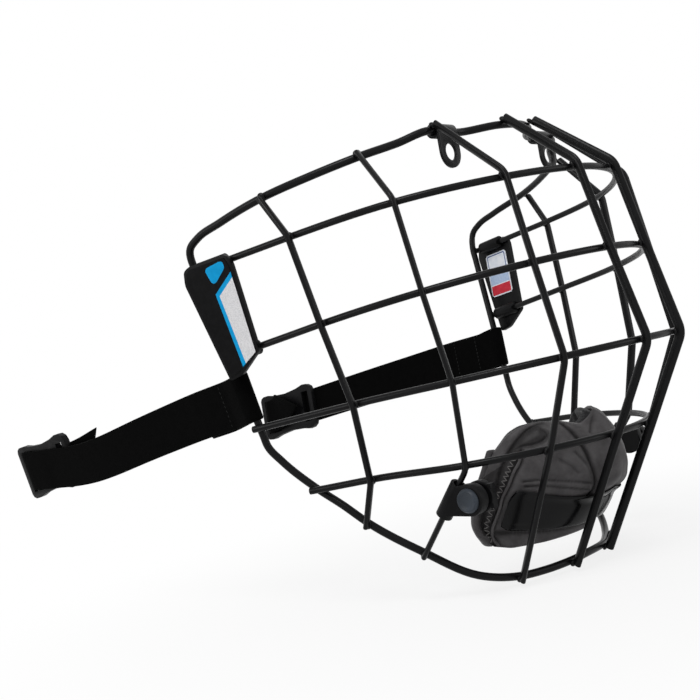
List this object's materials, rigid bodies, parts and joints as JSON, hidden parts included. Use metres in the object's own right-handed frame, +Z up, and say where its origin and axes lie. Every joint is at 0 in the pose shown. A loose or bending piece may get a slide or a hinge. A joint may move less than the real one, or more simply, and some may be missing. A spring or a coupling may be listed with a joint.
{
  "type": "full-face wire cage for a hockey helmet",
  "caption": "Curved wire face cage with flat side plates, a padded chin cup on sliding clips, and webbing side straps with buckles.",
  "frame": {"origin": "midway between the two helmet screw holes, in the middle of the tabs' sheet metal", "axes": "+Z up, the front of the cage faces -Y, +X is the wearer's left"},
  "size_m": [0.1994, 0.3022, 0.1754],
  "materials": {
    "powder_coated_steel": "satin black powder coat",
    "black_plastic": "satin",
    "woven_webbing": "woven matt",
    "printed_label": "printed film",
    "printed_sticker": "printed film",
    "snap_plastic": "satin",
    "moulded_cover": "moulded synthetic leather",
    "foam_liner": "cloth over foam"
  },
  "bodies": {
    "cage": {"rim_wire": "powder_coated_steel", "brow_wire": "powder_coated_steel", "eye_wire": "powder_coated_steel", "nose_wire": "powder_coated_steel", "jaw_wire": "powder_coated_steel", "right_temple_wire": "powder_coated_steel", "right_cheek_wire": "powder_coated_steel", "right_eye_wire": "powder_coated_steel", "right_centre_wire": "powder_coated_steel", "left_temple_wire": "powder_coated_steel", "left_cheek_wire": "powder_coated_steel", "left_eye_wire": "powder_coated_steel", "left_centre_wire": "powder_coated_steel", "right_helmet_tab": "powder_coated_steel", "left_helmet_tab": "powder_coated_steel", "right_side_plate": "black_plastic", "left_side_plate": "black_plastic", "right_label": "printed_label", "left_label": "printed_label", "left_inner_sticker": "printed_sticker"},
    "right_strap_loop": {"right_strap": "woven_webbing", "right_buckle": "black_plastic"},
    "left_strap_loop": {"left_strap": "woven_webbing", "left_buckle": "black_plastic"},
    "chin_carriage": {"right_chin_clip": "black_plastic", "left_chin_clip": "black_plastic", "right_snap": "snap_plastic", "left_snap": "snap_plastic"},
    "chin_cup_body": {"chin_cup": "moulded_cover", "chin_liner": "foam_liner", "chin_band": "black_plastic", "right_chin_arm": "black_plastic", "left_chin_arm": "black_plastic"}
  },
  "joints": [
    {"name": "right_strap_swing", "type": "hinge", "parent": "cage", "child": "right_strap_loop", "pos_m": [-0.08669, 0.07511, -0.07697], "axis": [-0.1244, 0.1853, 0.9748], "range_deg": [-25, 20]},
    {"name": "left_strap_swing", "type": "hinge", "parent": "cage", "child": "left_strap_loop", "pos_m": [0.08669, 0.07511, -0.07697], "axis": [0.1244, 0.1853, 0.9748], "range_deg": [-20, 25]},
    {"name": "chin_height_slide", "type": "slide", "parent": "cage", "child": "chin_carriage", "axis": [0, -0.6347, 0.7728], "range_m": [-0.008, 0.003]},
    {"name": "chin_cup_tilt", "type": "hinge", "parent": "chin_carriage", "child": "chin_cup_body", "pos_m": [0, -0.00292, -0.12455], "axis": [1, 0, 0], "range_deg": [-6, 10]}
  ]
}
